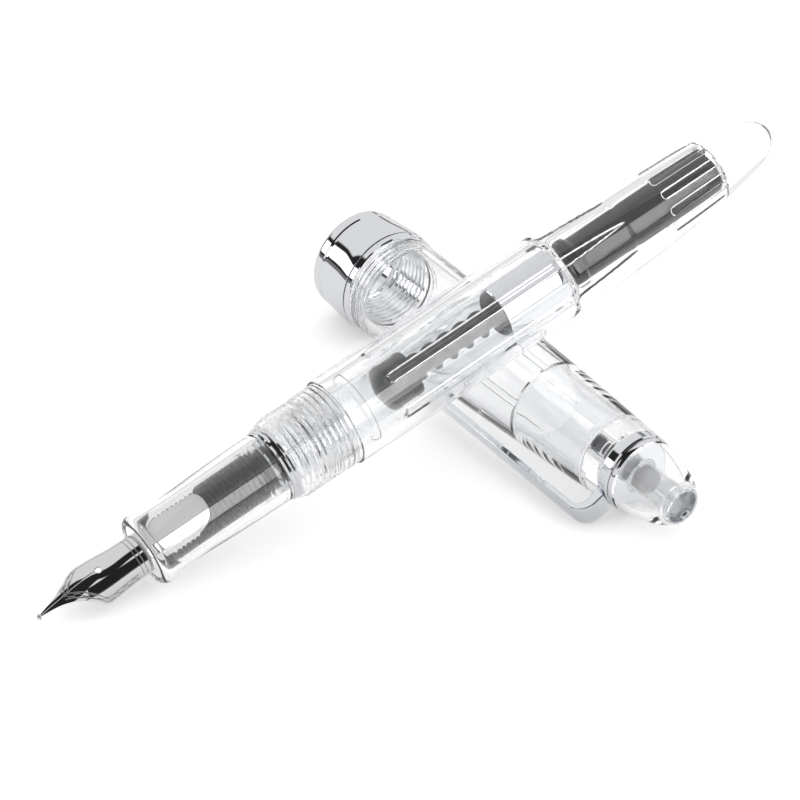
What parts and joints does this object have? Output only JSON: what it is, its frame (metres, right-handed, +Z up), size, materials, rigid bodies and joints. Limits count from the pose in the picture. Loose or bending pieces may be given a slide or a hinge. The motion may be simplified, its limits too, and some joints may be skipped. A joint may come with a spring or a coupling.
{
  "type": "fountain pen",
  "caption": "Clear fountain pen lying open across its own cap, with a steel nib, a black feed and a screw converter inside the see-through barrel.",
  "frame": {"origin": "on the table under the middle of the whole arrangement", "axes": "+Z up off the table, +Y away from the viewer, +X to the viewer's right, with the pen's tail pointing back and right and the cap's finial pointing front and right"},
  "size_m": [0.0986, 0.0816, 0.0351],
  "materials": {
    "clear_acrylic": "polished",
    "clear_converter": "polished",
    "polished_steel": "polished",
    "nib_steel": "polished",
    "black_feed": "satin",
    "black_plastic": "gloss",
    "dark_steel": "satin",
    "tipping": "satin"
  },
  "bodies": {
    "cap": {"cap_body": "clear_acrylic", "cap_band": "polished_steel", "cap_band_ring": "polished_steel", "inner_cap": "clear_acrylic", "clip_ring": "polished_steel", "finial_washer": "polished_steel", "finial_shell": "clear_acrylic", "finial_stem": "clear_acrylic", "finial_screw": "dark_steel"},
    "clip": {"clip_arm": "polished_steel"},
    "pen": {"barrel": "clear_acrylic"},
    "ring": {"trim_ring": "polished_steel"},
    "section": {"grip_section": "clear_acrylic", "nib_housing": "clear_acrylic", "converter_tube": "clear_converter", "converter_collar": "polished_steel", "converter_neck": "black_plastic"},
    "nib_unit": {"nib": "nib_steel", "nib_tip_left": "tipping", "nib_tip_right": "tipping", "feed": "black_feed"},
    "knob": {"converter_knob": "black_plastic", "piston_nut": "black_plastic"},
    "piston": {"piston_head": "black_plastic", "piston_seal_front": "black_plastic", "piston_seal_rear": "black_plastic", "piston_rod": "black_plastic"}
  },
  "joints": [
    {"name": "clip_flex", "type": "hinge", "parent": "cap", "child": "clip", "pos_m": [0.02434, -0.0164, 0.00342], "axis": [-0.3308, -0.3016, 0.8942], "range_deg": [0, 3], "stiffness_Nm_per_rad": 0.8},
    {"name": "pen_lift", "type": "slide", "parent": "cap", "child": "pen", "axis": [0, 0, 1], "range_m": [0, 0.06]},
    {"name": "section_draw", "type": "slide", "parent": "pen", "child": "ring", "axis": [-0.7793, -0.5722, -0.2554], "range_m": [0, 0.0051]},
    {"name": "section_turn", "type": "hinge", "parent": "ring", "child": "section", "pos_m": [-0.01969, -0.01838, 0.01024], "axis": [-0.7793, -0.5722, -0.2554], "range_deg": [0, 2160.1]},
    {"name": "nib_pull", "type": "slide", "parent": "section", "child": "nib_unit", "axis": [-0.7793, -0.5722, -0.2554], "range_m": [0, 0.026]},
    {"name": "knob_turn", "type": "hinge", "parent": "section", "child": "knob", "pos_m": [0.02972, 0.0179, 0.02643], "axis": [0.7793, 0.5722, 0.2554], "range_deg": [-450.1, 1200.1]},
    {"name": "piston_travel", "type": "slide", "parent": "section", "child": "piston", "axis": [0.7793, 0.5722, 0.2554], "range_m": [-0.00675, 0.018]}
  ],
  "couplings": [
    {"joint": "section_turn", "follows": "section_draw", "rad_per_m": 7392},
    {"joint": "knob_turn", "follows": "piston_travel", "rad_per_m": 1163.6}
  ]
}
